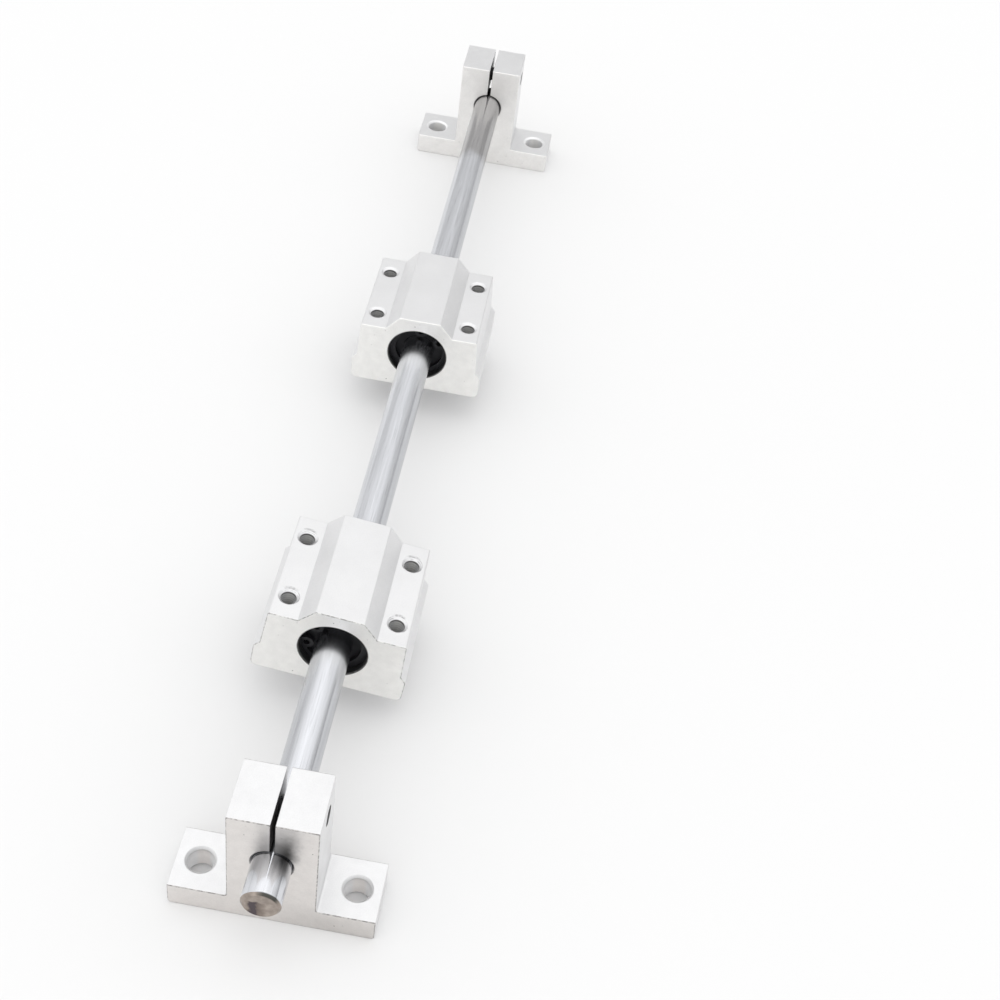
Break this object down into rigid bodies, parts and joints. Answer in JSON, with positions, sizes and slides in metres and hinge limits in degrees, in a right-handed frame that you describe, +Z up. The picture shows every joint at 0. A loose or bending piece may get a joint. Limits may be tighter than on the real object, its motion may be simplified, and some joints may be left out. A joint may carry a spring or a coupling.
{
  "type": "linear shaft with clamp supports and bearing blocks",
  "caption": "Round chromed linear shaft clamped in aluminium end supports, with ball bearing blocks that slide along it and turn on it.",
  "frame": {"origin": "under the middle of the rail's overall length, on the plane that the supports stand on", "axes": "+X along the shaft towards its protruding near end, +Y across it, +Z up from the supports' feet"},
  "size_m": [0.3082, 0.042, 0.0328],
  "materials": {
    "shaft_chrome": "polished hard chrome",
    "support_aluminium": "fine blasted and clear anodised",
    "housing_aluminium": "fine blasted and clear anodised",
    "screw_black": "black oxide",
    "circlip_black": "black phosphate",
    "sleeve_steel": "ground bearing steel",
    "ball_steel": "polished bearing steel",
    "retainer_resin": "moulded resin",
    "seal_rubber": "matt rubber"
  },
  "bodies": {
    "rail": {"shaft": "shaft_chrome", "near_support": "support_aluminium", "far_support": "support_aluminium", "near_clamp_screw": "screw_black", "far_clamp_screw": "screw_black"},
    "near_bearing": {"near_bearing_sleeve": "sleeve_steel", "near_ball_retainer": "retainer_resin", "near_bearing_balls": "ball_steel", "near_front_seal": "seal_rubber", "near_back_seal": "seal_rubber"},
    "near_block": {"near_housing": "housing_aluminium", "near_front_circlip": "circlip_black", "near_back_circlip": "circlip_black"},
    "far_bearing": {"far_bearing_sleeve": "sleeve_steel", "far_ball_retainer": "retainer_resin", "far_bearing_balls": "ball_steel", "far_front_seal": "seal_rubber", "far_back_seal": "seal_rubber"},
    "far_block": {"far_housing": "housing_aluminium", "far_front_circlip": "circlip_black", "far_back_circlip": "circlip_black"}
  },
  "joints": [
    {"name": "near_block_slide", "type": "slide", "parent": "rail", "child": "near_bearing", "axis": [1, 0, 0], "range_m": [-0.0364, 0.04]},
    {"name": "near_block_turn", "type": "hinge", "parent": "near_bearing", "child": "near_block", "pos_m": [0.0754, 0, 0.02], "axis": [1, 0, 0], "continuous": true},
    {"name": "far_block_slide", "type": "slide", "parent": "rail", "child": "far_bearing", "axis": [1, 0, 0], "range_m": [-0.0967, 0.0364]},
    {"name": "far_block_turn", "type": "hinge", "parent": "far_bearing", "child": "far_block", "pos_m": [-0.0279, 0, 0.02], "axis": [1, 0, 0], "continuous": true}
  ]
}
